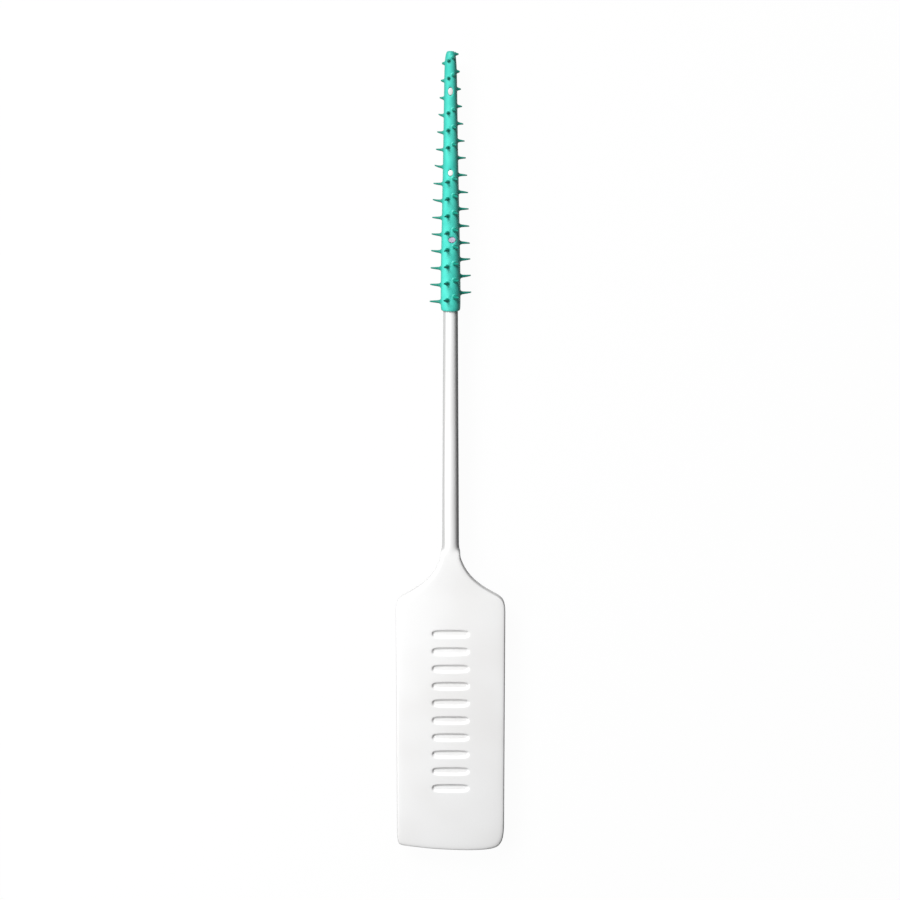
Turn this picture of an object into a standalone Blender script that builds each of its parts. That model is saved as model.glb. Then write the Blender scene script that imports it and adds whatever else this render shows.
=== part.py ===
"""Rubber interdental pick: a white moulded body with a green rubber sleeve bonded on its core.

Metres, +Z up. The pick lies flat with its tip towards +Y. Y is counted from the handle's end while
the pieces are made, and the axis of the stem is at X = 0, Z = 0. The last step moves both pieces
together, so that the origin is at the middle of the underside of the whole pick.
"""

import math

import bmesh
import bpy
from mathutils import Matrix, Vector

# Lengths along the pick
HANDLE_LENGTH = 0.02223
SHOULDER_LENGTH = 0.00517
STEM_LENGTH = 0.0211
SLEEVE_LENGTH = 0.0215

# Handle
HANDLE_WIDTH = 0.00955
HANDLE_THICKNESS = 0.0010
HANDLE_EDGE_RADIUS = 0.00018
END_BOW_RADIUS = 0.040
END_BOW_OFFSET = 0.0017
LEFT_CORNER_RADIUS = 0.00065
RIGHT_CORNER_RADIUS = 0.0015

# Shoulder and neck
NECK_WIDTH = 0.00149
SWEEP_HEIGHT = 0.00388
SWEEP_REACH = 0.00058
SWEEP_TOP_PULL = 0.00257
SWEEP_LOW_PULL = 0.00118
CORNER_TOP_PULL = 0.00045
CORNER_LOW_PULL = 0.00074
SWEEP_TOP_ANGLE = math.radians(11.6)
SWEEP_LOW_ANGLE = math.radians(58.9)
TONGUE_LENGTH = 0.0006
TONGUE_WIDTH = 0.0011
NECK_SLOPE = math.radians(20)

# Thumb grooves in the front face
GROOVE_COUNT = 10
GROOVE_PITCH = 0.00158
GROOVE_LENGTH = 0.0033
GROOVE_WIDTH = 0.00075
GROOVE_DEPTH = 0.00016
FIRST_GROOVE = 0.00593

# Stem and core
STEM_DIAMETER_NECK = 0.00147
STEM_DIAMETER_SLEEVE = 0.00125
STEM_ROOT = 0.0013
CORE_DIAMETER_TIP = 0.0006
CORE_END_GAP = 0.0014

# Rubber sleeve
SLEEVE_DIAMETER = 0.00165
SLEEVE_END_RADIUS = 0.00016
BOND_GAP = 0.00002
WINDOW_DIAMETER = 0.00046
WINDOW_LENGTH = 0.0006
WINDOWS_FROM_TIP = (0.00327, 0.00993, 0.01548)

# Nubs
NUB_PITCH = 0.00141
NUB_TURNS = 15
FIRST_NUB = 0.0008
NUB_REACH = 0.0018
NUB_TIP_DIAMETER = 0.00009
NUB_SHANK_DIAMETER = 0.0002
NUB_ROOT_DIAMETER = 0.00042
NUB_ROOT_HEIGHT = 0.00012
NUB_ROOT_SINK = 0.0001
NUB_ROW_ANGLES = (180, 113, 67, 0, -67, -113)
BARE_TURNS = (8, 12)

# Shares of the sleeve's length from its tip, with shares of its diameter and of the nubs' reach
sleeve_diameter_shares = (
    (0.0, 0.30),
    (0.005, 0.44),
    (0.018, 0.54),
    (0.045, 0.61),
    (0.34, 0.72),
    (0.57, 0.84),
    (0.81, 0.97),
    (0.90, 1.0),
)
core_nose_shares = ((0.0, 0.0), (0.06, 0.35), (0.3, 0.72), (1.0, 1.0))
nub_reach_shares = ((0.0, 0.36), (0.24, 0.56), (0.50, 0.80), (0.70, 0.89), (1.0, 1.0))
nub_least_share = 0.75

# Smoothness
TURNED_STEPS = 32
CORNER_STEPS = 7
EDGE_STEPS = 3
GROOVE_END_STEPS = 8
CURVE_STEPS = 10
NUB_SIDES = 6
WINDOW_SIDES = 16
FLAT_ANGLE = math.radians(0.1)
RIM_ANGLE = math.radians(60)
SHARP_ANGLE = math.radians(40)

# Cuts run past the surface by the overrun, and points nearer than the weld distance are one point
OVERRUN = 0.001
WELD_DISTANCE = 0.0000002

NECK_Y = HANDLE_LENGTH + SHOULDER_LENGTH
SLEEVE_Y = NECK_Y + STEM_LENGTH
TIP_Y = SLEEVE_Y + SLEEVE_LENGTH
CORE_TIP_Y = TIP_Y - CORE_END_GAP


def clear_scene():
    for obj in list(bpy.data.objects):
        bpy.data.objects.remove(obj, do_unlink=True)


def make_collection(name, rendered):
    collection = bpy.data.collections.new(name)
    bpy.context.scene.collection.children.link(collection)
    collection.hide_render = not rendered
    return collection


def make_material(name, colour, roughness, metallic):
    material = bpy.data.materials.new(name)
    material.use_nodes = True
    shader = material.node_tree.nodes["Principled BSDF"]
    shader.inputs["Base Color"].default_value = (*colour, 1.0)
    shader.inputs["Roughness"].default_value = roughness
    shader.inputs["Metallic"].default_value = metallic
    return material


def add_object(name, data, collection):
    obj = bpy.data.objects.new(name, data)
    collection.objects.link(obj)
    return obj


def mark_as_cutter(obj):
    obj.hide_render = True
    obj.display_type = "WIRE"
    return obj


def to_mesh_object(source, collection):
    """The evaluated mesh of an object or a curve as a new object under the same name, with its caps welded."""
    bpy.context.view_layer.update()
    evaluated = source.evaluated_get(bpy.context.evaluated_depsgraph_get())
    mesh = bpy.data.meshes.new_from_object(evaluated)
    matrix = source.matrix_world.copy()
    name = source.name
    bpy.data.objects.remove(source, do_unlink=True)
    shape = bmesh.new()
    shape.from_mesh(mesh)
    bmesh.ops.remove_doubles(shape, verts=shape.verts, dist=WELD_DISTANCE)
    bmesh.ops.recalc_face_normals(shape, faces=shape.faces)
    shape.to_mesh(mesh)
    shape.free()
    obj = add_object(name, mesh, collection)
    obj.matrix_world = matrix
    return obj


def merge_flat_faces(mesh):
    """A curve's caps come as triangles. This makes each flat cap one face, so that a bevel insets it evenly."""
    shape = bmesh.new()
    shape.from_mesh(mesh)
    bmesh.ops.dissolve_limit(
        shape, angle_limit=FLAT_ANGLE, verts=shape.verts, edges=shape.edges, delimit={"NORMAL"}
    )
    shape.to_mesh(mesh)
    shape.free()


def add_boolean(obj, name, operation, other):
    boolean = obj.modifiers.new(name, "BOOLEAN")
    boolean.operation = operation
    boolean.solver = "EXACT"
    boolean.object = other
    return boolean


def interpolate(table, share):
    """The value at a share of the length, between the rows of a table of shares."""
    if share <= table[0][0]:
        return table[0][1]
    for (low, low_value), (high, high_value) in zip(table, table[1:]):
        if share <= high:
            return low_value + (high_value - low_value) * (share - low) / (high - low)
    return table[-1][1]


def arc(centre, radius, start, end, steps):
    """Points of an arc in the XY plane, from one angle to another."""
    angles = (start + (end - start) * step / steps for step in range(steps + 1))
    return [(centre[0] + radius * math.cos(a), centre[1] + radius * math.sin(a)) for a in angles]


def bezier(start, first_pull, second_pull, end, steps):
    """Points of a cubic curve, without its first one."""
    points = []
    for step in range(1, steps + 1):
        t = step / steps
        weights = ((1 - t) ** 3, 3 * t * (1 - t) ** 2, 3 * t * t * (1 - t), t**3)
        pulls = (start, first_pull, second_pull, end)
        points.append(tuple(sum(w * p[i] for w, p in zip(weights, pulls)) for i in (0, 1)))
    return points


def along(point, length, angle):
    """The point that lies that far down the outline, at an angle from the pick's axis."""
    return (point[0] + length * math.sin(angle), point[1] - length * math.cos(angle))


# Handle

def end_bow_y(x):
    """The handle's end is a shallow bow, lowest a little right of the axis."""
    return END_BOW_RADIUS - math.sqrt(END_BOW_RADIUS**2 - (x - END_BOW_OFFSET) ** 2)


def corner_points(side, radius):
    """A rounded corner of the handle's end, from the bow round to the straight side."""
    centre = (side * (HANDLE_WIDTH / 2 - radius), 0.0)
    bow_slope = math.asin((centre[0] - END_BOW_OFFSET) / (END_BOW_RADIUS - radius))
    centre_y = END_BOW_RADIUS - (END_BOW_RADIUS - radius) * math.cos(bow_slope)
    start = -math.pi / 2 + bow_slope
    end = 0.0 if side > 0 else -math.pi
    return arc((centre[0], centre_y), radius, start, end, CORNER_STEPS)


def bow_points():
    """Points of the bow between the two corners, left to right."""
    left = -HANDLE_WIDTH / 2 + 2 * LEFT_CORNER_RADIUS
    right = HANDLE_WIDTH / 2 - RIGHT_CORNER_RADIUS - LEFT_CORNER_RADIUS
    places = [left + (right - left) * step / CURVE_STEPS for step in range(CURVE_STEPS + 1)]
    return [(x, end_bow_y(x)) for x in places]


def shoulder_points():
    """The right side from the straight side up to the neck and the tongue inside the stem."""
    neck = (NECK_WIDTH / 2, NECK_Y)
    low = (HANDLE_WIDTH / 2 - SWEEP_REACH, NECK_Y - SWEEP_HEIGHT)
    side = (HANDLE_WIDTH / 2, HANDLE_LENGTH)
    tongue = (TONGUE_WIDTH / 2, NECK_Y + TONGUE_LENGTH)
    sweep = bezier(
        neck,
        along(neck, SWEEP_TOP_PULL, SWEEP_TOP_ANGLE),
        along(low, -SWEEP_LOW_PULL, SWEEP_LOW_ANGLE),
        low,
        2 * CURVE_STEPS,
    )
    corner = bezier(
        low,
        along(low, CORNER_TOP_PULL, SWEEP_LOW_ANGLE),
        along(side, -CORNER_LOW_PULL, 0.0),
        side,
        CORNER_STEPS,
    )
    return list(reversed([tongue, neck] + sweep + corner))


def handle_outline():
    """The whole outline, anticlockwise from the left end of the bow."""
    right = shoulder_points()
    left = [(-x, y) for x, y in reversed(right)]
    left_corner = list(reversed(corner_points(-1, LEFT_CORNER_RADIUS)))
    return bow_points() + corner_points(1, RIGHT_CORNER_RADIUS) + right + left + left_corner


def add_flat_outline(name, points, half_thickness, collection):
    """A 2D curve with an outline of straight steps, extruded both ways."""
    curve = bpy.data.curves.new(name, "CURVE")
    curve.dimensions = "2D"
    curve.fill_mode = "BOTH"
    curve.extrude = half_thickness
    spline = curve.splines.new("POLY")
    spline.points.add(len(points) - 1)
    for spline_point, (x, y) in zip(spline.points, points):
        spline_point.co = (x, y, 0.0, 1.0)
    spline.use_cyclic_u = True
    return add_object(name, curve, collection)


def add_handle(collection):
    """The paddle: an extruded outline with rounded rims. Its last stretch is a tongue inside the stem."""
    flat = add_flat_outline("pick_body", handle_outline(), HANDLE_THICKNESS / 2, collection)
    handle = to_mesh_object(flat, collection)
    merge_flat_faces(handle.data)
    rim = handle.modifiers.new("rounded rims", "BEVEL")
    rim.width = HANDLE_EDGE_RADIUS
    rim.segments = EDGE_STEPS
    rim.limit_method = "ANGLE"
    rim.angle_limit = RIM_ANGLE
    rim.use_clamp_overlap = False
    return to_mesh_object(handle, collection)


# Stem and core

def stem_radius(y):
    """The stem tapers evenly from the neck to the sleeve's lower end."""
    share = (y - NECK_Y) / STEM_LENGTH
    return (STEM_DIAMETER_NECK + (STEM_DIAMETER_SLEEVE - STEM_DIAMETER_NECK) * share) / 2


def core_radius(y):
    """The core tapers evenly from the sleeve's lower end to its own tip."""
    share = (y - SLEEVE_Y) / (CORE_TIP_Y - SLEEVE_Y)
    return (STEM_DIAMETER_SLEEVE + (CORE_DIAMETER_TIP - STEM_DIAMETER_SLEEVE) * share) / 2


def add_turned(name, profile, collection):
    """A solid turned about the Y axis. The profile holds (radius, y) from the tip down, closed on the axis."""
    mesh = bpy.data.meshes.new(name)
    edges = [(i, i + 1) for i in range(len(profile) - 1)]
    mesh.from_pydata([(radius, 0.0, y) for radius, y in profile], edges, [])
    obj = add_object(name, mesh, collection)
    screw = obj.modifiers.new("turned", "SCREW")
    screw.axis = "Z"
    screw.angle = 2 * math.pi
    screw.steps = TURNED_STEPS
    screw.render_steps = TURNED_STEPS
    screw.use_merge_vertices = True
    screw.merge_threshold = WELD_DISTANCE
    # The profile is drawn upright, and this turn lays its axis along Y.
    obj.matrix_world = Matrix.Rotation(-math.pi / 2, 4, "X")
    bpy.context.view_layer.update()
    turned = to_mesh_object(obj, collection)
    turned.data.transform(turned.matrix_world)
    turned.matrix_world = Matrix.Identity(4)
    return turned


def core_profile(gap):
    """(radius, y) of the core from its rounded nose to the sleeve's lower end, grown by a gap."""
    nose = CORE_DIAMETER_TIP / 2
    profile = []
    for down, out in core_nose_shares:
        y = CORE_TIP_Y - down * nose
        profile.append((out * (core_radius(y) + gap), y + (1 - down) * gap))
    return profile + [(core_radius(SLEEVE_Y) + gap, SLEEVE_Y)]


def slope_off_root(mesh):
    """Cuts the stem's root at a slope in front and behind, down to the handle's faces at the neck."""
    shape = bmesh.new()
    shape.from_mesh(mesh)
    for side in (-1, 1):
        cut = bmesh.ops.bisect_plane(
            shape,
            geom=shape.verts[:] + shape.edges[:] + shape.faces[:],
            plane_co=(0.0, NECK_Y, side * HANDLE_THICKNESS / 2),
            plane_no=(0.0, -math.sin(NECK_SLOPE), side * math.cos(NECK_SLOPE)),
            clear_outer=True,
        )
        rim = [item for item in cut["geom_cut"] if isinstance(item, bmesh.types.BMEdge)]
        bmesh.ops.edgeloop_fill(shape, edges=rim)
    bmesh.ops.recalc_face_normals(shape, faces=shape.faces)
    shape.to_mesh(mesh)
    shape.free()


def add_stem(collection):
    """The round stem and core in one, from inside the handle to the core's tip."""
    root_y = NECK_Y - STEM_ROOT
    root = [(stem_radius(root_y), root_y), (0.0, root_y)]
    stem = add_turned("stem", core_profile(0.0) + root, collection)
    slope_off_root(stem.data)
    return stem


# Thumb grooves

def add_groove_cutter(index, collection):
    """One pill-shaped cutter whose lower rim is chamfered, which gives the groove its sloping walls."""
    run = GROOVE_LENGTH / 2 - GROOVE_WIDTH / 2
    radius = GROOVE_WIDTH / 2
    steps = GROOVE_END_STEPS
    right_end = arc((run, 0.0), radius - GROOVE_DEPTH, -math.pi / 2, math.pi / 2, steps)
    left_end = arc((-run, 0.0), radius - GROOVE_DEPTH, math.pi / 2, 3 * math.pi / 2, steps)
    half_height = GROOVE_DEPTH + OVERRUN / 2
    cutter = add_flat_outline(
        f"groove_cutter_{index:02d}", right_end + left_end, half_height - GROOVE_DEPTH, collection
    )
    cutter.data.bevel_depth = GROOVE_DEPTH
    cutter.data.bevel_resolution = 0
    floor_z = HANDLE_THICKNESS / 2 - GROOVE_DEPTH
    cutter.location = (0.0, FIRST_GROOVE + index * GROOVE_PITCH, floor_z + half_height)
    return to_mesh_object(cutter, collection)


# Rubber sleeve

def sleeve_radius(y):
    share = (TIP_Y - y) / SLEEVE_LENGTH
    return SLEEVE_DIAMETER / 2 * interpolate(sleeve_diameter_shares, share)


def add_sleeve(collection):
    """The sleeve as one turned wall: down its outer side, round its lower lip and up its blind bore."""
    outside = [(0.0, TIP_Y)]
    for down, _ in sleeve_diameter_shares:
        y = TIP_Y - down * SLEEVE_LENGTH
        outside.append((sleeve_radius(y), y))
    lip = (sleeve_radius(SLEEVE_Y) - SLEEVE_END_RADIUS, SLEEVE_Y + SLEEVE_END_RADIUS)
    rounded_lip = arc(lip, SLEEVE_END_RADIUS, 0.0, -math.pi / 2, EDGE_STEPS)
    bore = list(reversed(core_profile(BOND_GAP)))
    return add_turned("rubber_sleeve", outside + rounded_lip + bore, collection)


def add_nub(y, angle, name, collection):
    """One nub: a low wide root that runs into the sleeve, and a slender shank with a blunt tip."""
    share = (TIP_Y - y) / SLEEVE_LENGTH
    slim = nub_least_share + (1 - nub_least_share) * share
    foot = sleeve_radius(y) - NUB_ROOT_SINK
    shoulder = sleeve_radius(y) + NUB_ROOT_HEIGHT * slim
    reach = NUB_REACH * interpolate(nub_reach_shares, share)
    shape = bmesh.new()
    bmesh.ops.create_cone(
        shape,
        cap_ends=True,
        segments=NUB_SIDES,
        radius1=NUB_ROOT_DIAMETER / 2 * slim,
        radius2=NUB_SHANK_DIAMETER / 2 * slim,
        depth=shoulder - foot,
        matrix=Matrix.Translation((0.0, 0.0, (foot + shoulder) / 2)),
    )
    top = max(shape.faces, key=lambda face: face.calc_center_median().z)
    lifted = bmesh.ops.extrude_face_region(shape, geom=[top])["geom"]
    tip = [item for item in lifted if isinstance(item, bmesh.types.BMVert)]
    bmesh.ops.delete(shape, geom=[top], context="FACES_ONLY")
    narrowing = NUB_TIP_DIAMETER / (NUB_SHANK_DIAMETER * slim)
    bmesh.ops.scale(shape, verts=tip, vec=(narrowing, narrowing, 1.0))
    bmesh.ops.translate(shape, verts=tip, vec=(0.0, 0.0, reach - shoulder))
    mesh = bpy.data.meshes.new(name)
    shape.to_mesh(mesh)
    shape.free()
    nub = add_object(name, mesh, collection)
    outwards = Vector((math.cos(angle), 0.0, math.sin(angle)))
    turned = outwards.to_track_quat("Z", "Y").to_matrix().to_4x4()
    nub.matrix_world = Matrix.Translation((0.0, y, 0.0)) @ turned
    return nub


def nub_places():
    """(y, angle) of each nub, on a helix that climbs one pitch a turn. The rows in front and behind
    leave out the turns beside the two upper windows."""
    places = []
    for turn in range(NUB_TURNS):
        for degrees in NUB_ROW_ANGLES:
            beside_window = turn in BARE_TURNS and degrees not in (0, 180)
            if beside_window:
                continue
            climbed = turn + (180 - degrees) / 360
            places.append((SLEEVE_Y + FIRST_NUB + climbed * NUB_PITCH, math.radians(degrees)))
    return [(y, angle) for y, angle in places if y < TIP_Y - NUB_ROOT_DIAMETER / 2]


def add_window_cutter(index, collection):
    """An oval pin through the whole sleeve, front to back, which opens both windows at one place."""
    mesh = bpy.data.meshes.new(f"window_cutter_{index}")
    shape = bmesh.new()
    bmesh.ops.create_cone(
        shape,
        cap_ends=True,
        segments=WINDOW_SIDES,
        radius1=WINDOW_DIAMETER / 2,
        radius2=WINDOW_DIAMETER / 2,
        depth=SLEEVE_DIAMETER + OVERRUN,
    )
    bmesh.ops.scale(shape, vec=(1.0, WINDOW_LENGTH / WINDOW_DIAMETER, 1.0), verts=shape.verts)
    shape.to_mesh(mesh)
    shape.free()
    cutter = add_object(mesh.name, mesh, collection)
    cutter.location = (0.0, TIP_Y - WINDOWS_FROM_TIP[index], 0.0)
    return cutter


# Assembly

def join_meshes(name, objects, collection):
    """Several separate closed meshes as one object, to be one operand of a Boolean."""
    bpy.context.view_layer.update()
    shape = bmesh.new()
    for obj in objects:
        placed = obj.data.copy()
        placed.transform(obj.matrix_world)
        shape.from_mesh(placed)
        bpy.data.meshes.remove(placed)
        bpy.data.objects.remove(obj, do_unlink=True)
    mesh = bpy.data.meshes.new(name)
    shape.to_mesh(mesh)
    shape.free()
    return mark_as_cutter(add_object(name, mesh, collection))


def finish_piece(obj, material, parent):
    obj.data.materials.clear()
    obj.data.materials.append(material)
    obj.data.shade_smooth()
    obj.data.set_sharp_from_angle(angle=SHARP_ANGLE)
    obj.parent = parent


def lowest_and_middle(objects):
    """The lowest Z, and the middle of the Y range, of the evaluated objects."""
    bpy.context.view_layer.update()
    graph = bpy.context.evaluated_depsgraph_get()
    corners = []
    for obj in objects:
        evaluated = obj.evaluated_get(graph)
        corners += [evaluated.matrix_world @ Vector(corner) for corner in evaluated.bound_box]
    ys = [corner.y for corner in corners]
    return min(corner.z for corner in corners), (min(ys) + max(ys)) / 2


def build():
    clear_scene()
    parts = make_collection("interdental_pick", True)
    helpers = make_collection("cutters", False)

    body = add_handle(parts)
    add_boolean(body, "stem", "UNION", mark_as_cutter(add_stem(helpers)))
    grooves = [add_groove_cutter(index, helpers) for index in range(GROOVE_COUNT)]
    add_boolean(body, "grooves", "DIFFERENCE", join_meshes("groove_cutters", grooves, helpers))

    sleeve = add_sleeve(parts)
    nubs = [add_nub(y, angle, f"nub_{i:02d}", helpers) for i, (y, angle) in enumerate(nub_places())]
    add_boolean(sleeve, "nubs", "UNION", join_meshes("nubs", nubs, helpers))
    windows = [add_window_cutter(index, helpers) for index in range(len(WINDOWS_FROM_TIP))]
    add_boolean(sleeve, "windows", "DIFFERENCE", join_meshes("window_cutters", windows, helpers))

    frame = add_object("pick_frame", None, parts)
    for helper in helpers.objects:
        helper.parent = frame
    white = make_material("white_polypropylene", colour=(0.86, 0.86, 0.86), roughness=0.38, metallic=0.0)
    green = make_material("green_rubber", colour=(0.07, 0.61, 0.50), roughness=0.44, metallic=0.0)
    finish_piece(body, white, frame)
    finish_piece(sleeve, green, frame)
    lowest, middle = lowest_and_middle([body, sleeve])
    frame.location = (0.0, -middle, -lowest)


build()
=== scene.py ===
import math

import bmesh
import bpy
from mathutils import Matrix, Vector


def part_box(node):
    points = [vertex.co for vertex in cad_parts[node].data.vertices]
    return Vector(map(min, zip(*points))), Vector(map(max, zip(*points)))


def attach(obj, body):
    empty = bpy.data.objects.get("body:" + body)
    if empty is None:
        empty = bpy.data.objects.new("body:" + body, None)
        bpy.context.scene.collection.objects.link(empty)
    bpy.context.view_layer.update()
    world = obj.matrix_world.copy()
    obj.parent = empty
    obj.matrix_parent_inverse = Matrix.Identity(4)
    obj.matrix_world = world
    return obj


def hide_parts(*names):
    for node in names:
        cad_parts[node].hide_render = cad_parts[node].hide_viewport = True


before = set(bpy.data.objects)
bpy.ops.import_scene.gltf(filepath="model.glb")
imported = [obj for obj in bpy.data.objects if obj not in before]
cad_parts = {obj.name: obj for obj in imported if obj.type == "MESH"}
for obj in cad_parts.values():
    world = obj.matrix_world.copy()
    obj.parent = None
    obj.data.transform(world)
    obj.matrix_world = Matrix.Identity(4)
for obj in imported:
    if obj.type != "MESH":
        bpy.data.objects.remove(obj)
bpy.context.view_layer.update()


# Paddle handle
# The pick's body is one white polypropylene moulding, and its handle is a flat plate with rounded
# rims. It was broken off a row of picks at its lower end, which is why that end is a little uneven.

body_low, body_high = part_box("pick_body")
HANDLE_END = body_low.y
AXIS_HEIGHT = (body_low.z + body_high.z) / 2
HALF_WIDTH = body_high.x
HANDLE_THICKNESS = 0.0010
HALF_THICKNESS = HANDLE_THICKNESS / 2
HANDLE_LENGTH = 0.02223
RIM_RADIUS = 0.00023
END_BOW_RADIUS = 0.040
END_BOW_OFFSET = 0.0017
LEFT_CORNER_RADIUS = 0.00065
RIGHT_CORNER_RADIUS = 0.0015
# A rounded edge in the cage is three points, the middle one this share of its radius from the corner
corner_share = 0.19

GROOVE_COUNT = 10
FIRST_GROOVE = 0.00593
GROOVE_PITCH = 0.00158
GROOVE_LENGTH = 0.0033
GROOVE_WIDTH = 0.00075
GROOVE_DEPTH = 0.00016
GROOVE_LIP = 0.00006
GROOVE_FLOOR_EDGE = 0.00005
# A groove's round end is four points: the outer two at these shares of its radius
groove_end_out_share = 1.0427
groove_end_side_share = 0.656

NECK = 0.0274
NECK_HALF_WIDTH = 0.000745
SWEEP_HEIGHT = 0.00388
SWEEP_REACH = 0.00058
SWEEP_TOP_PULL = 0.00257
SWEEP_LOW_PULL = 0.00118
CORNER_TOP_PULL = 0.00045
CORNER_LOW_PULL = 0.00074
SWEEP_TOP_ANGLE = math.radians(11.6)
SWEEP_LOW_ANGLE = math.radians(58.9)
SWEEP_STEPS = 16
CORNER_STEPS = 4
# The plate thickens a little on both faces towards the neck
NECK_RISE = 0.0001
# How far round from the top the points of the stem's ring stand: five columns, then the side wall
RING_ANGLES = (0, 16, 31, 45, 59, 77)
# Plain rows across the handle, below the grooves and above them
PLAIN_ROWS = (0.0026, 0.0042)
LAST_PLAIN_ROW = 0.0217


def along(point, length, angle):
    """The point that lies that far down the outline, at an angle from the pick's axis."""
    return Vector((point.x + length * math.sin(angle), point.y - length * math.cos(angle)))


def curve_point(pulls, t):
    """A point of a cubic curve, and the unit normal that points out of the handle there."""
    a, b, c, d = pulls
    point = a * (1 - t) ** 3 + b * 3 * t * (1 - t) ** 2 + c * 3 * t * t * (1 - t) + d * t**3
    way = (b - a) * (1 - t) ** 2 + (c - b) * 2 * t * (1 - t) + (d - c) * t * t
    return point, Vector((-way.y, way.x)).normalized()


def end_bow(x):
    """The handle's end is a shallow bow, lowest a little right of the axis."""
    return END_BOW_RADIUS - math.sqrt(END_BOW_RADIUS**2 - (x - END_BOW_OFFSET) ** 2)


def mirrored(side):
    """A row of nine points from its middle one and the four to the right of it."""
    return [Vector((-p.x, p.y)) for p in reversed(side[1:])] + side


# How far from the axis the straight part of a groove ends, and then its round end
lip_radius = GROOVE_WIDTH / 2 + GROOVE_LIP
groove_straight = GROOVE_LENGTH / 2 - GROOVE_WIDTH / 2
groove_out = groove_straight + lip_radius * groove_end_out_share


def straight_row(y, groove_x, groove_y):
    """A row across the handle: the axis, the groove's end, the rim's foot and the rim on each side."""
    side = [Vector((0, y)), Vector((groove_straight, y)), Vector((groove_x, groove_y))]
    return mirrored(side + [Vector((HALF_WIDTH - RIM_RADIUS, y)), Vector((HALF_WIDTH, y))])


def end_rows():
    """The first two rows, which carry the bowed end, its two corners and the rim's foot inside them."""
    rim_row, foot_row = [], []
    for side, radius in ((-1, LEFT_CORNER_RADIUS), (1, RIGHT_CORNER_RADIUS)):
        foot = corner_share * radius + math.sqrt(0.5) * RIM_RADIUS
        tip_x = side * (HALF_WIDTH - corner_share * radius)
        start_x = side * (HALF_WIDTH - radius)
        low = end_bow(start_x)
        rim = [Vector((tip_x, low + corner_share * radius)), Vector((start_x, low))]
        feet = [Vector((side * HALF_WIDTH, low + radius)), Vector((side * (HALF_WIDTH - foot), low + foot))]
        rim_row.append(rim)
        foot_row.append(feet)
    middle = [-groove_out, -groove_straight, 0, groove_straight, groove_out]
    rim_middle = [Vector((x, end_bow(x))) for x in middle]
    foot_middle = [Vector((x, end_bow(x) + RIM_RADIUS)) for x in middle]
    first = rim_row[0] + rim_middle + list(reversed(rim_row[1]))
    second = foot_row[0] + foot_middle + list(reversed(foot_row[1]))
    return [first, second]


def groove_rows():
    """Two rows for each groove, whose four corner points are drawn in for the groove's round ends."""
    rows = []
    for index in range(GROOVE_COUNT):
        middle = FIRST_GROOVE + index * GROOVE_PITCH
        for lip in (-lip_radius, lip_radius):
            rows.append(straight_row(middle + lip, groove_out, middle + lip * groove_end_side_share))
    return rows


def neck_distance(x):
    """0 where the outline is as narrow as the neck, and 1 where it is as wide as the handle."""
    return min(max((abs(x) - NECK_HALF_WIDTH) / (HALF_WIDTH - NECK_HALF_WIDTH), 0.0), 1.0)


def shoulder_rows():
    """Rows that follow the outline round the shoulder and up its sweep, almost to the neck."""
    neck = Vector((NECK_HALF_WIDTH, NECK))
    low = Vector((HALF_WIDTH - SWEEP_REACH, NECK - SWEEP_HEIGHT))
    side = Vector((HALF_WIDTH, HANDLE_LENGTH))
    sweep = [
        neck,
        along(neck, SWEEP_TOP_PULL, SWEEP_TOP_ANGLE),
        along(low, -SWEEP_LOW_PULL, SWEEP_LOW_ANGLE),
        low,
    ]
    corner = [low, along(low, CORNER_TOP_PULL, SWEEP_LOW_ANGLE), along(side, -CORNER_LOW_PULL, 0.0), side]
    places = [curve_point(corner, 1 - step / CORNER_STEPS) for step in range(CORNER_STEPS)]
    places += [curve_point(sweep, 1 - step / SWEEP_STEPS) for step in range(SWEEP_STEPS)]
    rows = []
    foot_x = HALF_WIDTH - RIM_RADIUS
    across = [math.sin(math.radians(angle)) for angle in RING_ANGLES]
    for rim, normal in places:
        foot = rim - normal * RIM_RADIUS
        wide = neck_distance(rim.x)
        columns = [Vector((0, foot.y))]
        for step, paddle_x in ((1, groove_straight), (2, groove_out)):
            stem_share = across[step] / across[3]
            share = stem_share + (paddle_x / foot_x - stem_share) * wide
            columns.append(Vector((foot.x * share, foot.y)))
        rows.append(mirrored(columns + [foot, rim]))
    return rows


handle_rows = end_rows()
handle_rows += [straight_row(y, groove_out, y) for y in PLAIN_ROWS]
handle_rows += groove_rows()
handle_rows += [straight_row(LAST_PLAIN_ROW, groove_out, LAST_PLAIN_ROW)]
handle_rows += shoulder_rows()

bpy.ops.object.select_all(action="DESELECT")
bpy.ops.mesh.primitive_grid_add(x_subdivisions=8, y_subdivisions=len(handle_rows) - 1, size=1)
body = bpy.context.active_object
body.name = body.data.name = "white_body"
bpy.ops.object.mode_set(mode="EDIT")
shape = bmesh.from_edit_mesh(body.data)
grid = sorted(shape.verts, key=lambda v: (round(v.co.y, 4), v.co.x))
for vert, place in zip(grid, (point for row in handle_rows for point in row)):
    vert.co = (place.x, HANDLE_END + place.y, AXIS_HEIGHT + HALF_THICKNESS)
bmesh.update_edit_mesh(body.data)

# The plate is drawn down in three steps, so that both rims have a row of points under them
bpy.ops.mesh.select_all(action="SELECT")
for drop in (RIM_RADIUS, 2 * (HALF_THICKNESS - RIM_RADIUS), RIM_RADIUS):
    bpy.ops.mesh.extrude_region_move(TRANSFORM_OT_translate={"value": (0, 0, -drop)})
bpy.ops.mesh.select_all(action="SELECT")
bpy.ops.mesh.normals_make_consistent(inside=False)
shape = bmesh.from_edit_mesh(body.data)
for vert in shape.verts:
    way = min(max((vert.co.y - HANDLE_END - NECK) / SWEEP_HEIGHT + 1, 0), 1)
    vert.co.z += math.copysign(NECK_RISE * way**2 * (3 - 2 * way), vert.co.z - AXIS_HEIGHT)
bmesh.update_edit_mesh(body.data)

# Two places closer than this count as one
NEAR = 0.00001


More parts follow.
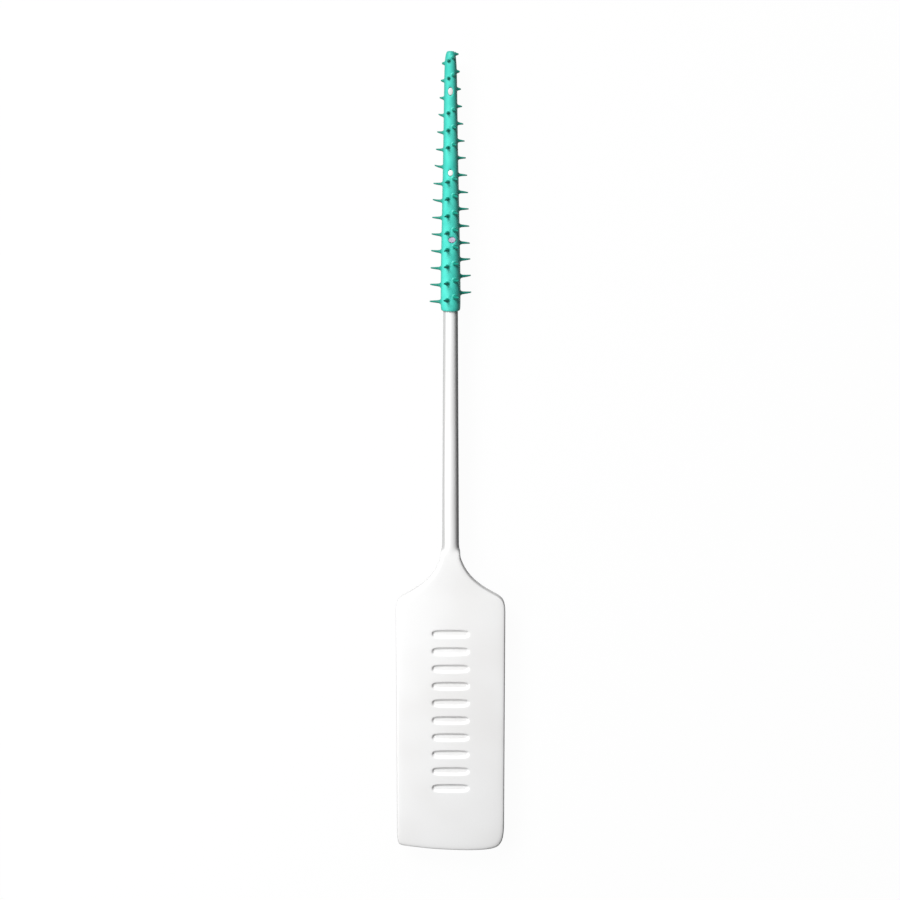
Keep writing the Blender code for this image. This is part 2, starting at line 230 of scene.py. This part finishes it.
def choose(mesh, kind, wanted):
    """Selects only the points, edges or faces that a test picks out."""
    modes = {"verts": "VERT", "edges": "EDGE", "faces": "FACE"}
    bpy.ops.mesh.select_mode(type=modes[kind])
    bpy.ops.mesh.select_all(action="DESELECT")
    shape = bmesh.from_edit_mesh(mesh)
    for item in getattr(shape, kind):
        if wanted(item):
            item.select_set(True)
    shape.select_flush_mode()
    bmesh.update_edit_mesh(mesh)


def on_rim(vert):
    """The sharp edge all round the front and the back, where an edge runs down the side wall."""
    on_face = abs(vert.co.z - AXIS_HEIGHT) > HALF_THICKNESS - NEAR
    drops = [abs(edge.verts[0].co.z - edge.verts[1].co.z) for edge in vert.link_edges]
    return on_face and max(drops) > RIM_RADIUS / 2


last_row = min(point.y for point in handle_rows[-1])


def on_neck_wall(face):
    """The wall that the drop leaves across the neck, where the stem goes on."""
    return all(vert.co.y > HANDLE_END + last_row - NEAR for vert in face.verts)


choose(body.data, "faces", on_neck_wall)
bpy.ops.mesh.delete(type="FACE")
choose(body.data, "verts", on_rim)
bpy.ops.transform.shrink_fatten(value=-corner_share * RIM_RADIUS * math.sqrt(2))


# Thumb grooves
# A ladder of ten shallow grooves in the front gives the thumb its grip. They are moulded in, with
# sloping walls and round ends.

def groove_face(face):
    """The four faces inside a groove's lip."""
    middle = face.calc_center_median()
    up = middle.y - HANDLE_END - FIRST_GROOVE
    nearest = min(max(round(up / GROOVE_PITCH), 0), GROOVE_COUNT - 1) * GROOVE_PITCH
    on_front = middle.z > AXIS_HEIGHT + HALF_THICKNESS - NEAR
    return on_front and abs(middle.x) < groove_out and abs(up - nearest) < lip_radius / 2


choose(body.data, "faces", groove_face)
bpy.ops.mesh.inset(thickness=GROOVE_LIP, depth=0)
bpy.ops.mesh.inset(thickness=GROOVE_DEPTH, depth=-GROOVE_DEPTH)
bpy.ops.mesh.inset(thickness=GROOVE_FLOOR_EDGE, depth=0)


# Stem and core
# The stem rises out of the handle as a slim round rod. Above it the same moulding runs on inside the
# rubber as a thin tapered core, which only shows through the three windows.

STEM_RADIUS_NECK = 0.000735
STEM_RADIUS_SLEEVE = 0.000625
CORE_RADIUS_TIP = 0.0003
SLEEVE_START = 0.0485
# Rings between the flat neck and the round stem: heights above the neck, and how far each turns round
NECK_RINGS = ((-0.0002, 0.03), (0.0001, 0.15), (0.00035, 0.6), (0.0006, 1.0))
# The stem is this much lower than it is wide at the neck, and quite round further up
NECK_SQUASH = 0.84
SQUASH_LENGTH = 0.0045
# Rings along the stem and the core, as shares of their lengths
stem_shares = (0.07, 0.25, 0.6, 0.97, 1.0)
core_shares = (0.05, 0.35, 0.7, 0.96)
CORE_TIP = body_high.y - HANDLE_END
# The core's last ring has this share of its radius, which makes a blunt end
core_end_share = 0.5
SKIN_LEVELS = 2


def body_radius(y):
    """The stem and the core each taper evenly."""
    if y <= SLEEVE_START:
        share = (y - NECK) / (SLEEVE_START - NECK)
        return STEM_RADIUS_NECK + (STEM_RADIUS_SLEEVE - STEM_RADIUS_NECK) * share
    share = (y - SLEEVE_START) / (CORE_TIP - SLEEVE_START)
    return STEM_RADIUS_SLEEVE + (CORE_RADIUS_TIP - STEM_RADIUS_SLEEVE) * share


quarter = [math.radians(90 - angle) for angle in reversed(RING_ANGLES)]
half = quarter + [math.pi - angle for angle in reversed(quarter[:-1])]
ring_angles = [angle - math.pi for angle in half] + half


def round_off(mesh, y, radius, share):
    """Moves the selected ring of points to a height, and that share of the way to a circle.

    Each point stands a little outside the circle, because the smooth skin passes inside its cage."""
    shape = bmesh.from_edit_mesh(mesh)
    ring = [vert for vert in shape.verts if vert.select]
    ring.sort(key=lambda v: math.atan2(v.co.z - AXIS_HEIGHT, v.co.x))
    squash = NECK_SQUASH + (1 - NECK_SQUASH) * min(max((y - NECK) / SQUASH_LENGTH, 0), 1)
    for step, vert in enumerate(ring):
        angle = ring_angles[step]
        after = ring_angles[(step + 1) % len(ring)]
        out = radius * 6 / (4 + math.cos(angle - ring_angles[step - 1]) + math.cos(after - angle))
        spot = Vector((out * math.cos(angle), 0, AXIS_HEIGHT + out * math.sin(angle) * squash))
        vert.co = vert.co.lerp(spot, share)
        vert.co.y = HANDLE_END + y
    bmesh.update_edit_mesh(mesh)


bpy.ops.mesh.select_mode(type="EDGE")
bpy.ops.mesh.select_all(action="DESELECT")
bpy.ops.mesh.select_non_manifold(extend=False)

rings = [(NECK + above, roundness) for above, roundness in NECK_RINGS]
rings += [(NECK + share * (SLEEVE_START - NECK), 1.0) for share in stem_shares]
rings += [(SLEEVE_START + share * (CORE_TIP - SLEEVE_START), 1.0) for share in core_shares]
for y, roundness in rings:
    bpy.ops.mesh.extrude_region_move(TRANSFORM_OT_translate={"value": (0, NEAR, 0)})
    round_off(body.data, y, body_radius(y), roundness)
bpy.ops.mesh.extrude_region_move(TRANSFORM_OT_translate={"value": (0, NEAR, 0)})
round_off(body.data, CORE_TIP, CORE_RADIUS_TIP * core_end_share, 1.0)
bpy.ops.mesh.extrude_region_move(TRANSFORM_OT_translate={"value": (0, 0, 0)})
bpy.ops.mesh.merge(type="CENTER")
bpy.ops.mesh.select_all(action="SELECT")
bpy.ops.mesh.normals_make_consistent(inside=False)
bpy.ops.object.mode_set(mode="OBJECT")


def smooth_piece(piece):
    """Gives a cage its smooth skin, and smooth shading."""
    bpy.ops.object.select_all(action="DESELECT")
    piece.select_set(True)
    bpy.context.view_layer.objects.active = piece
    bpy.ops.object.modifier_add(type="SUBSURF")
    skin = piece.modifiers[-1]
    skin.levels = SKIN_LEVELS
    skin.render_levels = SKIN_LEVELS
    bpy.ops.object.modifier_apply(modifier=skin.name)
    bpy.ops.object.shade_smooth()


smooth_piece(body)

# Three short pads cross the core, and stand in the rubber's windows front and back. Each has its
# distance from the tip, half width, half length, how far right it lies and how far it stands out.
FULL_LENGTH = 0.07
PAD_SIDES = 20
PAD_EDGE = 0.00007
PAD_EDGE_STEPS = 3
CORE_PADS = (
    (0.00327, 0.00022, 0.00032, 0.0, 0.00052),
    (0.00993, 0.00022, 0.00026, 0.0, 0.00063),
    (0.01548, 0.00031, 0.00024, 0.00012, 0.00073),
)
pads = []
for down, half_width, half_length, aside, height in CORE_PADS:
    centre = (aside, HANDLE_END + FULL_LENGTH - down, AXIS_HEIGHT)
    bpy.ops.mesh.primitive_cylinder_add(vertices=PAD_SIDES, radius=1, depth=2 * height, location=centre)
    pad = bpy.context.active_object
    pad.scale = (half_width, half_length, 1)
    bpy.ops.object.transform_apply(location=True, rotation=True, scale=True)
    bpy.ops.object.mode_set(mode="EDIT")
    choose(pad.data, "edges", lambda edge: abs(edge.verts[0].co.z - edge.verts[1].co.z) < NEAR)
    bpy.ops.mesh.bevel(offset=PAD_EDGE, segments=PAD_EDGE_STEPS)
    bpy.ops.object.mode_set(mode="OBJECT")
    bpy.ops.object.shade_smooth()
    pads.append(pad)
bpy.ops.object.select_all(action="DESELECT")
for pad in pads:
    pad.select_set(True)
body.select_set(True)
bpy.context.view_layer.objects.active = body
bpy.ops.object.join()


# White polypropylene
# The body is moulded in opaque white with a satin skin. The skin has a very fine grain and slight
# flow marks, and a hairline runs round its edge where the two halves of the mould met. Its rims and
# the stem's flanks near that line carry painted shade.

class Signal:
    """A value in a material, which can be used in sums."""

    def __init__(self, finish, socket):
        self.finish = finish
        self.socket = socket

    def sum(self, operation, *others):
        return self.finish.node("ShaderNodeMath", {"operation": operation}, {}, (self, *others))

    def __add__(self, other):
        return self.sum("ADD", other)

    def __sub__(self, other):
        return self.sum("SUBTRACT", other)

    def __rsub__(self, other):
        return (self * -1) + other

    def __mul__(self, other):
        return self.sum("MULTIPLY", other)

    def __abs__(self):
        return self.sum("ABSOLUTE")

    __radd__ = __add__
    __rmul__ = __mul__


class Finish:
    """A procedural material on Object coordinates, put together from sums."""

    def __init__(self, name, **fixed):
        self.material = bpy.data.materials.new(name)
        self.material.use_nodes = True
        self.tree = self.material.node_tree
        self.shader = self.tree.nodes["Principled BSDF"]
        for socket, value in fixed.items():
            self.shader.inputs[socket.replace("_", " ")].default_value = value
        place = self.tree.nodes.new("ShaderNodeTexCoord")
        self.place = Signal(self, place.outputs["Object"])
        apart = self.tree.nodes.new("ShaderNodeSeparateXYZ")
        self.tree.links.new(place.outputs["Object"], apart.inputs[0])
        self.x, self.y, self.z = (Signal(self, output) for output in apart.outputs)

    def node(self, kind, settings, named, listed=(), output=0):
        """Any node: its settings, its sockets by name, or a list of values for its first sockets."""
        node = self.tree.nodes.new(kind)
        for setting, value in settings.items():
            setattr(node, setting, value)
        for socket, value in list(named.items()) + list(enumerate(listed)):
            if isinstance(value, Signal):
                self.tree.links.new(value.socket, node.inputs[socket])
            else:
                node.inputs[socket].default_value = value
        return Signal(self, node.outputs[output])

    def noise(self, size, detail=2.0):
        """Noise from 0 to 1 whose features have about that size in metres."""
        named = {"Vector": self.place, "Scale": 1 / size, "Detail": detail}
        return self.node("ShaderNodeTexNoise", {"noise_dimensions": "3D"}, named)

    def ramp(self, value, low, high):
        """0 below a value, 1 above another, and smooth between."""
        named = {"Value": value, "From Min": low, "From Max": high}
        return self.node("ShaderNodeMapRange", {"interpolation_type": "SMOOTHSTEP"}, named)

    def fade(self, value, edge, span):
        """A ramp whose two ends are given as distances from an edge."""
        return self.ramp(value, edge + span[0], edge + span[1])

    def blend(self, share, first, second):
        """A colour that goes from one to another."""
        node = self.tree.nodes.new("ShaderNodeMix")
        node.data_type = "RGBA"
        for socket, value in ((0, share), (6, first), (7, second)):
            if isinstance(value, Signal):
                self.tree.links.new(value.socket, node.inputs[socket])
            else:
                node.inputs[socket].default_value = value
        return Signal(self, node.outputs[2])

    def give(self, socket, value):
        self.tree.links.new(value.socket, self.shader.inputs[socket])

    def bump(self, height, distance):
        named = {"Height": height, "Distance": distance, "Strength": 1.0}
        self.give("Normal", self.node("ShaderNodeBump", {}, named))


white = Finish("white polypropylene", IOR=1.49, Specular_IOR_Level=0.1)
WHITE = (0.865, 0.865, 0.865, 1)
WARM_WHITE = (0.815, 0.81, 0.805, 1)
# Painted shade for the rims and the stem's flanks
SHADE_PAINTED_WHITE = (0.46, 0.46, 0.46, 1)
# Painted shade for the lowest pad in its window
SHADED_PAD_LILAC = (0.58, 0.50, 0.65, 1)
WHITE_ROUGHNESS = 0.33
WHITE_ROUGHNESS_SPREAD = 0.10
# The sizes of the flow marks, of the grain and of the patches of unlike roughness
FLOW_SIZE = 0.006
GRAIN_SIZE = 0.00009
PATCH_SIZE = 0.0012
# Noise values between which the white turns warm
FLOW_SPAN = (0.35, 0.75)
# Distances from the parting line over which the hairline ends, and the painted shade of rim and stem
HAIRLINE_SPAN = (0.00001, 0.00004)
RIM_SHADE_SPAN = (0.00034, 0.0005)
STEM_SHADE_SPAN = (0.0004, 0.0006)
# Distances from the shoulder's foot, the neck, the grooves' ends and the first groove
SHOULDER_SPAN = (-0.0005, 0.001)
NECK_SPAN = (-0.0001, 0.0005)
GROOVE_END_SPAN = (0.0005, 0.0015)
FIRST_GROOVE_SPAN = (-0.0025, -0.0015)
# Distances from the middle of the lowest pad's front over which its painted shade in lilac ends
LILAC_SPAN = (0.0003, 0.0004)
# How dark the rim's painted shade is, and how much of that the shoulder loses
rim_darkness_share = 0.85
shoulder_darkness_loss = 0.5
# The relief's depth, and the shares of it that the grain and the hairline have
WHITE_RELIEF = 0.000012
grain_share = 0.25
hairline_share = 0.8

flow = white.noise(FLOW_SIZE, detail=1.0)
grain = white.noise(GRAIN_SIZE, detail=1.0)
from_seam = abs(white.z - AXIS_HEIGHT)
flow_and_shade_white = white.blend(white.ramp(flow, *FLOW_SPAN), WHITE, WARM_WHITE)

# Painted shade darkens the skin towards the parting line, on the rims and most on the stem,
# least so round the shoulder, and not in the grooves
up = white.y - HANDLE_END
on_shoulder = white.fade(up, HANDLE_LENGTH, SHOULDER_SPAN)
on_stem = white.fade(up, NECK, NECK_SPAN)
off_grooves = white.fade(abs(white.x), GROOVE_LENGTH / 2, GROOVE_END_SPAN)
off_grooves += (1 - white.fade(up, FIRST_GROOVE, FIRST_GROOVE_SPAN)) * (1 - off_grooves)
off_grooves += on_shoulder * (1 - off_grooves)
rim_painted_shade = 1 - white.ramp(from_seam, *RIM_SHADE_SPAN)
rim_painted_shade *= (rim_darkness_share - on_shoulder * shoulder_darkness_loss) * off_grooves
stem_painted_shade = 1 - white.ramp(from_seam, *STEM_SHADE_SPAN)
flow_and_shade_white = white.blend(rim_painted_shade + (stem_painted_shade - rim_painted_shade) * on_stem, flow_and_shade_white, SHADE_PAINTED_WHITE)

# The lowest pad's front is painted a darker lilac grey, as painted shade in its window
low_down, _, _, low_aside, low_height = CORE_PADS[-1]
low_pad = (low_aside, HANDLE_END + FULL_LENGTH - low_down, AXIS_HEIGHT + low_height)
places = (white.place, low_pad)
from_pad = white.node("ShaderNodeVectorMath", {"operation": "DISTANCE"}, {}, places, "Value")
white.give("Base Color", white.blend(white.ramp(from_pad, *LILAC_SPAN), SHADED_PAD_LILAC, flow_and_shade_white))
white.give("Roughness", WHITE_ROUGHNESS + WHITE_ROUGHNESS_SPREAD * white.noise(PATCH_SIZE))
hairline = 1 - white.ramp(from_seam, *HAIRLINE_SPAN)
white.bump(grain * grain_share + hairline * hairline_share, WHITE_RELIEF)

body.data.materials.clear()
body.data.materials.append(white.material)
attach(body, "root")
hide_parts("pick_body")


# Rubber sleeve
# Green thermoplastic rubber is moulded over the core as a thin tapered sleeve with a closed tip and
# a rounded lower lip. Pins that held the core in the mould left three oval windows front and back.

sleeve_low, sleeve_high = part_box("rubber_sleeve")
SLEEVE_TIP = sleeve_high.y
SLEEVE_LENGTH = sleeve_high.y - sleeve_low.y
SLEEVE_RADIUS = 0.00084
SLEEVE_WALL = 0.00017
SLEEVE_SIDES = 16
# The rubber closes round each pad with this little room, and its edge there is fairly sharp
PAD_ROOM = 0.00001
EDGE_CREASE = 0.4
# The sleeve's plain rings keep this far from the middle of a window
WINDOW_REACH = 0.0009
# Shares of the sleeve's length from the tip, and of its radius
sleeve_shares = (
    (0.0, 0.15),
    (0.0, 0.28),
    (0.004, 0.41),
    (0.015, 0.50),
    (0.038, 0.575),
    (0.08, 0.62),
    (0.20, 0.67),
    (0.34, 0.72),
    (0.40, 0.752),
    (0.52, 0.815),
    (0.57, 0.84),
    (0.66, 0.89),
    (0.81, 0.97),
    (0.90, 1.0),
    (0.97, 1.0),
    (0.993, 0.985),
    (0.9985, 0.93),
    (1.0, 0.84),
)


def share_at(table, share):
    """The value at a share, between the rows of a table of shares."""
    for (near, value), (far, next_value) in zip(table, table[1:]):
        if near < far and share <= far:
            return value + (next_value - value) * (share - near) / (far - near)
    return table[-1][1]


def sleeve_radius(down):
    """The sleeve's radius at a distance from its tip."""
    return SLEEVE_RADIUS * share_at(sleeve_shares, down / SLEEVE_LENGTH)


# The smooth skin passes inside its cage, so windows and rings are drawn this much larger
octagon_growth = 6 / (4 + math.sqrt(2))
sleeve_growth = 3 / (2 + math.cos(2 * math.pi / SLEEVE_SIDES))
window_rows = [
    pad[0] + side * (pad[2] + PAD_ROOM) * octagon_growth for pad in CORE_PADS for side in (-1, 0, 1)
]
kept = [
    (share * SLEEVE_LENGTH, radius * SLEEVE_RADIUS)
    for share, radius in sleeve_shares
    if all(abs(share * SLEEVE_LENGTH - pad[0]) > WINDOW_REACH for pad in CORE_PADS)
]
sleeve_rings = sorted(
    kept + [(down, sleeve_radius(down)) for down in window_rows], key=lambda ring: (ring[0], ring[1])
)
tip_rings = [ring for ring in sleeve_rings if ring[0] < SLEEVE_LENGTH / 2]
lip_rings = sorted(
    [ring for ring in sleeve_rings if ring[0] >= SLEEVE_LENGTH / 2], key=lambda ring: (ring[0], -ring[1])
)
tip_radius = tip_rings[0][1] * sleeve_growth


def on_tip_ring(vert):
    """The sleeve's first ring, which is drawn together to close the tip."""
    from_tip = (vert.co - Vector((0, SLEEVE_TIP, AXIS_HEIGHT))).length
    return vert.co.y > SLEEVE_TIP - NEAR and from_tip < tip_radius + NEAR


bpy.ops.object.select_all(action="DESELECT")
bpy.ops.mesh.primitive_circle_add(
    vertices=SLEEVE_SIDES,
    radius=tip_radius,
    fill_type="NOTHING",
    location=(0, SLEEVE_TIP, AXIS_HEIGHT),
    rotation=(math.pi / 2, 0, 0),
)
sleeve = bpy.context.active_object
sleeve.name = sleeve.data.name = "green_sleeve"
bpy.ops.object.transform_apply(location=True, rotation=True, scale=True)
bpy.ops.object.mode_set(mode="EDIT")
bpy.ops.mesh.select_all(action="SELECT")
before = tip_rings[0]
for ring in tip_rings[1:] + lip_rings:
    step = (0, before[0] - ring[0], 0)
    bpy.ops.mesh.extrude_region_move(TRANSFORM_OT_translate={"value": step})
    growth = ring[1] / before[1]
    centre = (0, SLEEVE_TIP - ring[0], AXIS_HEIGHT)
    bpy.ops.transform.resize(value=(growth, 1, growth), center_override=centre)
    before = ring
choose(sleeve.data, "verts", on_tip_ring)
bpy.ops.mesh.extrude_region_move(TRANSFORM_OT_translate={"value": (0, 0, 0)})
bpy.ops.mesh.merge(type="CENTER")

# Each window opens round one point of the ring of points in front and behind
shape = bmesh.from_edit_mesh(sleeve.data)
for down, half_width, half_length, aside, _ in CORE_PADS:
    y = SLEEVE_TIP - down
    wide = (half_width + PAD_ROOM) * octagon_growth
    long = (half_length + PAD_ROOM) * octagon_growth
    middles = [v for v in shape.verts if abs(v.co.y - y) < NEAR and abs(v.co.x) < NEAR]
    around = {vert for middle in middles for face in middle.link_faces for vert in face.verts}
    for vert in around:
        across = 0 if abs(vert.co.x) < NEAR else math.copysign(1, vert.co.x)
        forward = 0 if abs(vert.co.y - y) < NEAR else math.copysign(1, vert.co.y - y)
        corner = math.sqrt(0.5) if across and forward else 1
        vert.co.x = aside + across * wide * corner
        vert.co.y = y + forward * long * corner
        radius = sleeve_radius(SLEEVE_TIP - vert.co.y) * sleeve_growth
        rise = math.sqrt(max(radius**2 - vert.co.x**2, 0))
        vert.co.z = AXIS_HEIGHT + math.copysign(rise, vert.co.z - AXIS_HEIGHT)
    bmesh.ops.delete(shape, geom=middles, context="VERTS")
bmesh.update_edit_mesh(sleeve.data)
bpy.ops.mesh.select_all(action="SELECT")
bpy.ops.mesh.normals_make_consistent(inside=False)
bpy.ops.object.mode_set(mode="OBJECT")
wall = sleeve.modifiers.new("wall", "SOLIDIFY")
wall.thickness = SLEEVE_WALL
wall.offset = -1
wall.edge_crease_outer = EDGE_CREASE
bpy.context.view_layer.objects.active = sleeve
bpy.ops.object.modifier_apply(modifier=wall.name)
smooth_piece(sleeve)


# Soft nubs
# Short soft nubs stand all along the sleeve and clean between the teeth. They are moulded with it,
# each on a low flared root, and they spring a little out of line.

NUB_PITCH = 0.00141
NUB_TURNS = 15
# From the sleeve's lower end to the first nub, and the least distance of a nub from the tip
FIRST_NUB = 0.0008
HIGHEST_NUB = 0.0002
# From the axis to the tips of the lowest nubs
NUB_REACH = 0.0018
NUB_SIDES = 12
# Each row's place round the sleeve in degrees, and the share of a pitch that it stands higher
ROWS = ((180, -0.03), (109, 0.13), (67, 0.31), (0, 0.5), (-67, 0.69), (-113, 0.81))
# In these turns only the two side rows have a nub
BARE_TURNS = (8, 12)
ROOT_RADIUS = 0.0003
# Shares of the sleeve's length from the tip, and of the reach there
reach_shares = ((0.0, 0.36), (0.24, 0.56), (0.50, 0.80), (0.70, 0.89), (1.0, 1.0))
# How much of its radius a root keeps at the tip
least_share = 0.75
# Shares of the root's radius, and heights above the sleeve's skin as shares of the same radius
root_shares = ((1.0, -0.06), (0.86, 0.02), (0.72, 0.10), (0.60, 0.22), (0.50, 0.42), (0.43, 0.72))
# Shares of the root's radius, and shares of the shank's length
shank_shares = ((0.34, 0.40), (0.25, 0.78), (0.19, 0.95), (0.11, 0.99))
# The thin green turns into the solid one from this height on, over that much more, as shares of
# the root's radius
solid_start_share = 0.1
solid_rise_share = 0.22
# How far each turn's nubs lean towards the tip, in degrees: the left row, and all the others
left_leans = (2, 4, 3, 6, 5, 3, 9, 4, 12, 5, 8, 13, 7, 5, 3)
right_leans = (4, 5, 3, -3, -2, 0, -4, -2, 0, -3, -5, -2, -3, 0, 2)


def add_nub(down, angle, lean):
    """One nub: its root lies on the sleeve's round skin, and its shank bends towards or from the tip."""
    share = down / SLEEVE_LENGTH
    slim = least_share + (1 - least_share) * share
    skin = sleeve_radius(down)
    root = ROOT_RADIUS * slim
    reach = NUB_REACH * share_at(reach_shares, share) - skin
    rings = [(out * root, up * root) for out, up in root_shares]
    shank = reach - rings[-1][1]
    rings += [(out * root, rings[-1][1] + up * shank) for out, up in shank_shares]
    bpy.ops.mesh.primitive_circle_add(vertices=NUB_SIDES, radius=rings[0][0], fill_type="NGON")
    nub = bpy.context.active_object
    nub.data.attributes.new("solid rubber", "FLOAT", "POINT")
    bpy.ops.object.mode_set(mode="EDIT")
    bpy.ops.mesh.select_all(action="SELECT")
    bpy.ops.mesh.flip_normals()
    before = rings[0]
    for out, up in rings[1:]:
        bpy.ops.mesh.extrude_region_move(TRANSFORM_OT_translate={"value": (0, 0, up - before[1])})
        bpy.ops.transform.resize(value=(out / before[0], out / before[0], 1))
        before = (out, up)
    bpy.ops.object.mode_set(mode="OBJECT")
    outwards = Vector((math.cos(angle), 0, math.sin(angle)))
    across = Vector((-math.sin(angle), 0, math.cos(angle)))
    root_top = rings[len(root_shares) - 1][1] - rings[0][1]
    depth = nub.data.attributes["solid rubber"]
    for vert in nub.data.vertices:
        u, v, h = vert.co
        solid = (h / root - solid_start_share) / solid_rise_share
        depth.data[vert.index].value = min(max(solid, 0.0), 1.0)
        height = h + rings[0][1]
        fade = max(0.0, 1 - h / root_top)
        drop = (skin - math.sqrt(skin**2 - u**2)) * fade
        bend = math.tan(math.radians(lean)) * max(height, 0) ** 2 / reach
        place = outwards * (skin + height - drop) + across * u
        vert.co = place + Vector((0, SLEEVE_TIP - down + v + bend, AXIS_HEIGHT))
    return nub


nubs = []
for turn in range(NUB_TURNS):
    for degrees, higher in ROWS:
        side_row = degrees in (0, 180)
        climbed = FIRST_NUB + (turn + higher) * NUB_PITCH
        down = SLEEVE_LENGTH - climbed
        if down < HIGHEST_NUB or (turn in BARE_TURNS and not side_row):
            continue
        leans = left_leans if degrees == 180 else right_leans
        nubs.append(add_nub(down, math.radians(degrees), leans[turn]))

bpy.ops.object.select_all(action="DESELECT")
for nub in nubs:
    nub.select_set(True)
    nub.data.shade_smooth()
sleeve.select_set(True)
bpy.context.view_layer.objects.active = sleeve
bpy.ops.object.join()

green = Finish("green rubber", IOR=1.5, Specular_IOR_Level=0.25)
GREEN = (0.078, 0.64, 0.53, 1)
DEEP_GREEN = (0.05, 0.55, 0.455, 1)
# Painted shade along the sleeve's flanks
PAINTED_SHADE_GREEN = (0.03, 0.38, 0.31, 1)
SOLID_GREEN = (0.003, 0.22, 0.16, 1)
GREEN_ROUGHNESS = 0.38
GREEN_ROUGHNESS_SPREAD = 0.12
# The sizes of the clouds in the green, of the patches of unlike roughness and of the grain
CLOUD_SIZE = 0.0012
GREEN_PATCH_SIZE = 0.0005
GREEN_GRAIN_SIZE = 0.00007
# Noise values between which the green turns deep
CLOUD_SPAN = (0.35, 0.7)
# Distances from the parting line over which its painted shade, a darker green, ends
GREEN_SHADE_SPAN = (0.0002, 0.0006)
GREEN_RELIEF = 0.000002

cloud = green.noise(CLOUD_SIZE)
skin_grain = green.noise(GREEN_GRAIN_SIZE, detail=1.0)
thin_green_and_shade = green.blend(green.ramp(cloud, *CLOUD_SPAN), GREEN, DEEP_GREEN)
# Painted shade darkens the green towards the parting line on both flanks
thin_green_and_shade = green.blend(green.ramp(abs(green.z - AXIS_HEIGHT), *GREEN_SHADE_SPAN), PAINTED_SHADE_GREEN, thin_green_and_shade)
solid = green.node("ShaderNodeAttribute", {"attribute_name": "solid rubber"}, {}, output="Fac")
green.give("Base Color", green.blend(solid, thin_green_and_shade, SOLID_GREEN))
green.give("Roughness", GREEN_ROUGHNESS + GREEN_ROUGHNESS_SPREAD * green.noise(GREEN_PATCH_SIZE))
green.bump(skin_grain, GREEN_RELIEF)
sleeve.data.materials.clear()
sleeve.data.materials.append(green.material)
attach(sleeve, "root")
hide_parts("rubber_sleeve")


# Floor
# The pick lies on a wide white table top, which shows as plain white and takes only a faint shadow.

FLOOR_SIZE = 4.0
SEEN_PAPER = (0.9, 0.9, 0.9, 1)
UNSEEN_PAPER = (0.2, 0.2, 0.2, 1)
# The share of the floor's look that is plain white. The rest takes the shadow.
PLAIN_SHARE = 0.97
bpy.ops.mesh.primitive_plane_add(size=FLOOR_SIZE, location=(0, 0, 0))
floor = bpy.context.active_object
floor.name = "table_top"
table = Finish("table top")
rays = ("Is Camera Ray", "Is Glossy Ray", "Is Transmission Ray")
seen = sum(table.node("ShaderNodeLightPath", {}, {}, output=ray) for ray in rays)
paper = table.node("ShaderNodeBsdfDiffuse", {}, {"Color": table.blend(seen, UNSEEN_PAPER, SEEN_PAPER)})
glow = table.node("ShaderNodeEmission", {}, {"Strength": 1.0})
mixed = table.node("ShaderNodeMixShader", {}, {}, (seen * PLAIN_SHARE, paper, glow))
table.tree.links.new(mixed.socket, table.tree.nodes["Material Output"].inputs["Surface"])
floor.data.materials.append(table.material)


# Light and camera
# One soft lamp stands past the tip and to the left, and a weak small one close by on the left. The
# camera looks down on the pick from past its middle, tilted back a little towards the handle.

ROOM_LIGHT = 0.055
# Each lamp has its name, the way to it from the pick's middle, its distance, its size and its power
LAMPS = (
    ("key lamp", (-0.66, 1.1, 1.0), 0.25, 0.125, 0.81),
    ("fill lamp", (-1.0, -0.4, 1.0), 0.0735, 0.03, 0.027),
)


def add_lamp(name, way, distance, size, power):
    """A square lamp that looks at the pick's middle from a direction."""
    bpy.ops.object.light_add(type="AREA", location=Vector(way).normalized() * distance)
    lamp = bpy.context.active_object
    lamp.name = name
    lamp.data.size = size
    lamp.data.energy = power
    lamp.visible_camera = False
    lamp.rotation_euler = Vector(way).to_track_quat("Z", "Y").to_euler()


for lamp_values in LAMPS:
    add_lamp(*lamp_values)
world = bpy.context.scene.world or bpy.data.worlds.new("room")
bpy.context.scene.world = world
world.use_nodes = True
nodes, links = world.node_tree.nodes, world.node_tree.links
room = nodes["Background"]
room.inputs["Color"].default_value = (1, 1, 1, 1)
# The room shows as white, and lights the pick only a little
strength = nodes.new("ShaderNodeMix")
strength.inputs["A"].default_value = ROOM_LIGHT
strength.inputs["B"].default_value = 1.0
light_path = nodes.new("ShaderNodeLightPath")
seen_by = light_path.outputs[rays[0]]
for ray in rays[1:]:
    either = nodes.new("ShaderNodeMath")
    links.new(seen_by, either.inputs[0])
    links.new(light_path.outputs[ray], either.inputs[1])
    seen_by = either.outputs[0]
links.new(seen_by, strength.inputs["Factor"])
links.new(strength.outputs["Result"], room.inputs["Strength"])

# The lens and the sensor are in millimetres
LENS = 79.3
SENSOR = 36.0
NEAREST_SEEN = 0.001
EYE_ALONG = 0.07118
EYE_HEIGHT = 0.1664
AIM_ALONG = 0.03646
EYE_SIDE = -0.00005
bpy.ops.object.camera_add()
camera = bpy.context.active_object
camera.location = (EYE_SIDE, HANDLE_END + EYE_ALONG, AXIS_HEIGHT + EYE_HEIGHT)
camera.rotation_euler = (-math.atan2(EYE_ALONG - AIM_ALONG, EYE_HEIGHT), 0, 0)
camera.data.lens = LENS
camera.data.sensor_width = SENSOR
camera.data.clip_start = NEAREST_SEEN
bpy.context.scene.camera = camera
bpy.context.scene.view_settings.view_transform = "Standard"
